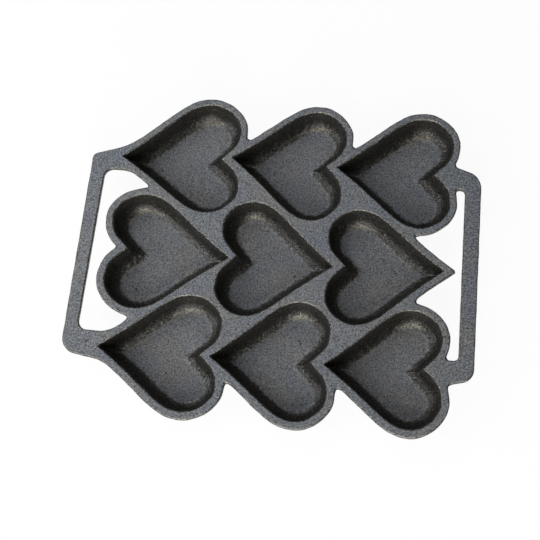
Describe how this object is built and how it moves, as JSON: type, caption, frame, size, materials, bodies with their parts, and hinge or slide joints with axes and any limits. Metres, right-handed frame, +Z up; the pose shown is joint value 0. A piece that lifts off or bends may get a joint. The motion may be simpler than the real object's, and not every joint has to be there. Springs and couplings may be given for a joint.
{
  "type": "cake pan",
  "caption": "Cast-iron cake pan with nested heart-shaped cups in staggered rows, a flat deck between them and a flat loop handle at each end.",
  "frame": {"origin": "middle of the pan's footprint, on the plane that the cups' flat undersides stand on", "axes": "+X towards the right handle, +Y towards the far row of cups, +Z up out of the cups"},
  "size_m": [0.3152, 0.2586, 0.024],
  "materials": {
    "seasoned_iron": "seasoned, sand-cast grain"
  },
  "bodies": {
    "root": {"cup_far_left": "seasoned_iron", "cup_far_middle": "seasoned_iron", "cup_far_right": "seasoned_iron", "cup_middle_left": "seasoned_iron", "cup_centre": "seasoned_iron", "cup_middle_right": "seasoned_iron", "cup_near_left": "seasoned_iron", "cup_near_middle": "seasoned_iron", "cup_near_right": "seasoned_iron", "handle_left": "seasoned_iron", "handle_right": "seasoned_iron"}
  },
  "joints": []
}
